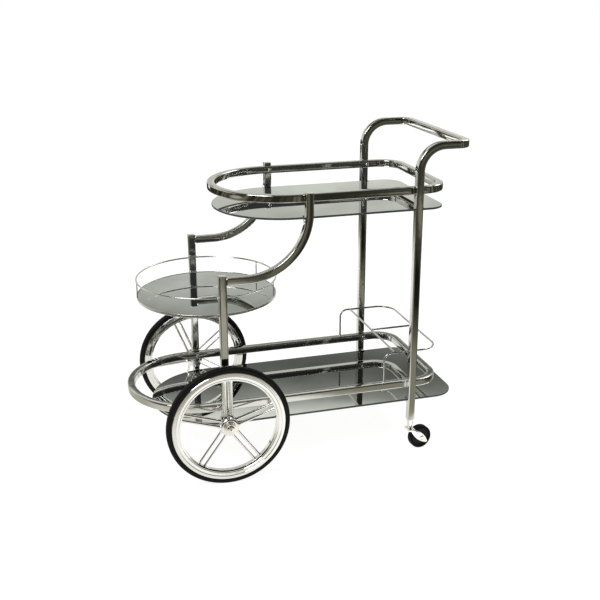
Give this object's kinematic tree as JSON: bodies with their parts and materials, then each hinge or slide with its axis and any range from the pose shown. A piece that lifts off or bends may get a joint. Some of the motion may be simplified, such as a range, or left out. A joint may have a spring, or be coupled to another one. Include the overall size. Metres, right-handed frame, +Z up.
{
  "type": "beverage cart",
  "caption": "Serving cart of square chrome tube with smoked mirror glass shelves, a round gallery tray, a bottle guard, spoked front wheels and rear swivel casters.",
  "frame": {"origin": "on the floor, at the centre of the cart's outline in plan", "axes": "+X towards the handle, +Y to the cart's right, +Z up"},
  "size_m": [0.8245, 0.492, 0.7945],
  "materials": {
    "chrome": "bright chrome plate on steel tube and wire",
    "mirror_glass": "smoked mirror glass with polished edges",
    "tyre_rubber": "satin black rubber",
    "caster_rubber": "satin black rubber",
    "caster_plastic": "moulded black plastic",
    "pad_rubber": "matte grey rubber",
    "nylon": "moulded nylon",
    "zinc_steel": "bright zinc plate"
  },
  "bodies": {
    "frame": {"handle_frame": "chrome", "front_post_left": "chrome", "front_post_right": "chrome", "front_post_caps": "chrome", "arm_left": "chrome", "arm_right": "chrome", "arm_caps": "chrome", "top_ring": "chrome", "lower_ring": "chrome", "ring_screws": "chrome", "ring_nuts": "zinc_steel", "top_glass": "mirror_glass", "lower_glass": "mirror_glass", "shelf_brackets": "chrome", "axle_bracket_left": "chrome", "axle_bracket_right": "chrome", "bracket_screws": "chrome", "glass_pads": "pad_rubber", "tray_rim": "chrome", "tray_glass": "mirror_glass", "tray_gallery": "chrome", "tray_struts": "chrome", "tray_lugs": "chrome", "guard_rail": "chrome", "guard_crossbar": "chrome", "guard_divider": "chrome", "axle_bolts": "zinc_steel", "axle_sleeves": "zinc_steel", "axle_spacers": "chrome", "axle_washers": "zinc_steel", "axle_nuts": "zinc_steel", "caster_sockets": "chrome"},
    "wheel_left": {"wheel_rim_left": "chrome", "wheel_spokes_left": "chrome", "wheel_hub_left": "chrome", "tyre_left": "tyre_rubber", "wheel_bushes_left": "nylon", "hub_cap_left": "chrome"},
    "caster_left": {"caster_stem_left": "zinc_steel", "caster_clip_left": "zinc_steel", "caster_fork_left": "chrome", "caster_axle_left": "zinc_steel"},
    "caster_wheel_left": {"caster_core_left": "caster_plastic", "caster_tyre_left": "caster_rubber"},
    "wheel_right": {"wheel_rim_right": "chrome", "wheel_spokes_right": "chrome", "wheel_hub_right": "chrome", "tyre_right": "tyre_rubber", "wheel_bushes_right": "nylon", "hub_cap_right": "chrome"},
    "caster_right": {"caster_stem_right": "zinc_steel", "caster_clip_right": "zinc_steel", "caster_fork_right": "chrome", "caster_axle_right": "zinc_steel"},
    "caster_wheel_right": {"caster_core_right": "caster_plastic", "caster_tyre_right": "caster_rubber"}
  },
  "joints": [
    {"name": "wheel_left_spin", "type": "hinge", "parent": "frame", "child": "wheel_left", "pos_m": [-0.20375, -0.22, 0.15], "axis": [0, 1, 0], "continuous": true},
    {"name": "caster_left_swivel", "type": "hinge", "parent": "frame", "child": "caster_left", "pos_m": [0.27625, -0.188, 0.086], "axis": [0, 0, 1], "continuous": true},
    {"name": "caster_left_spin", "type": "hinge", "parent": "caster_left", "child": "caster_wheel_left", "pos_m": [0.30596, -0.18382, 0.03], "axis": [-0.1392, 0.9903, 0], "continuous": true},
    {"name": "wheel_right_spin", "type": "hinge", "parent": "frame", "child": "wheel_right", "pos_m": [-0.20375, 0.22, 0.15], "axis": [0, 1, 0], "continuous": true},
    {"name": "caster_right_swivel", "type": "hinge", "parent": "frame", "child": "caster_right", "pos_m": [0.27625, 0.188, 0.086], "axis": [0, 0, 1], "continuous": true},
    {"name": "caster_right_spin", "type": "hinge", "parent": "caster_right", "child": "caster_wheel_right", "pos_m": [0.30596, 0.19218, 0.03], "axis": [-0.1392, 0.9903, 0], "continuous": true}
  ]
}
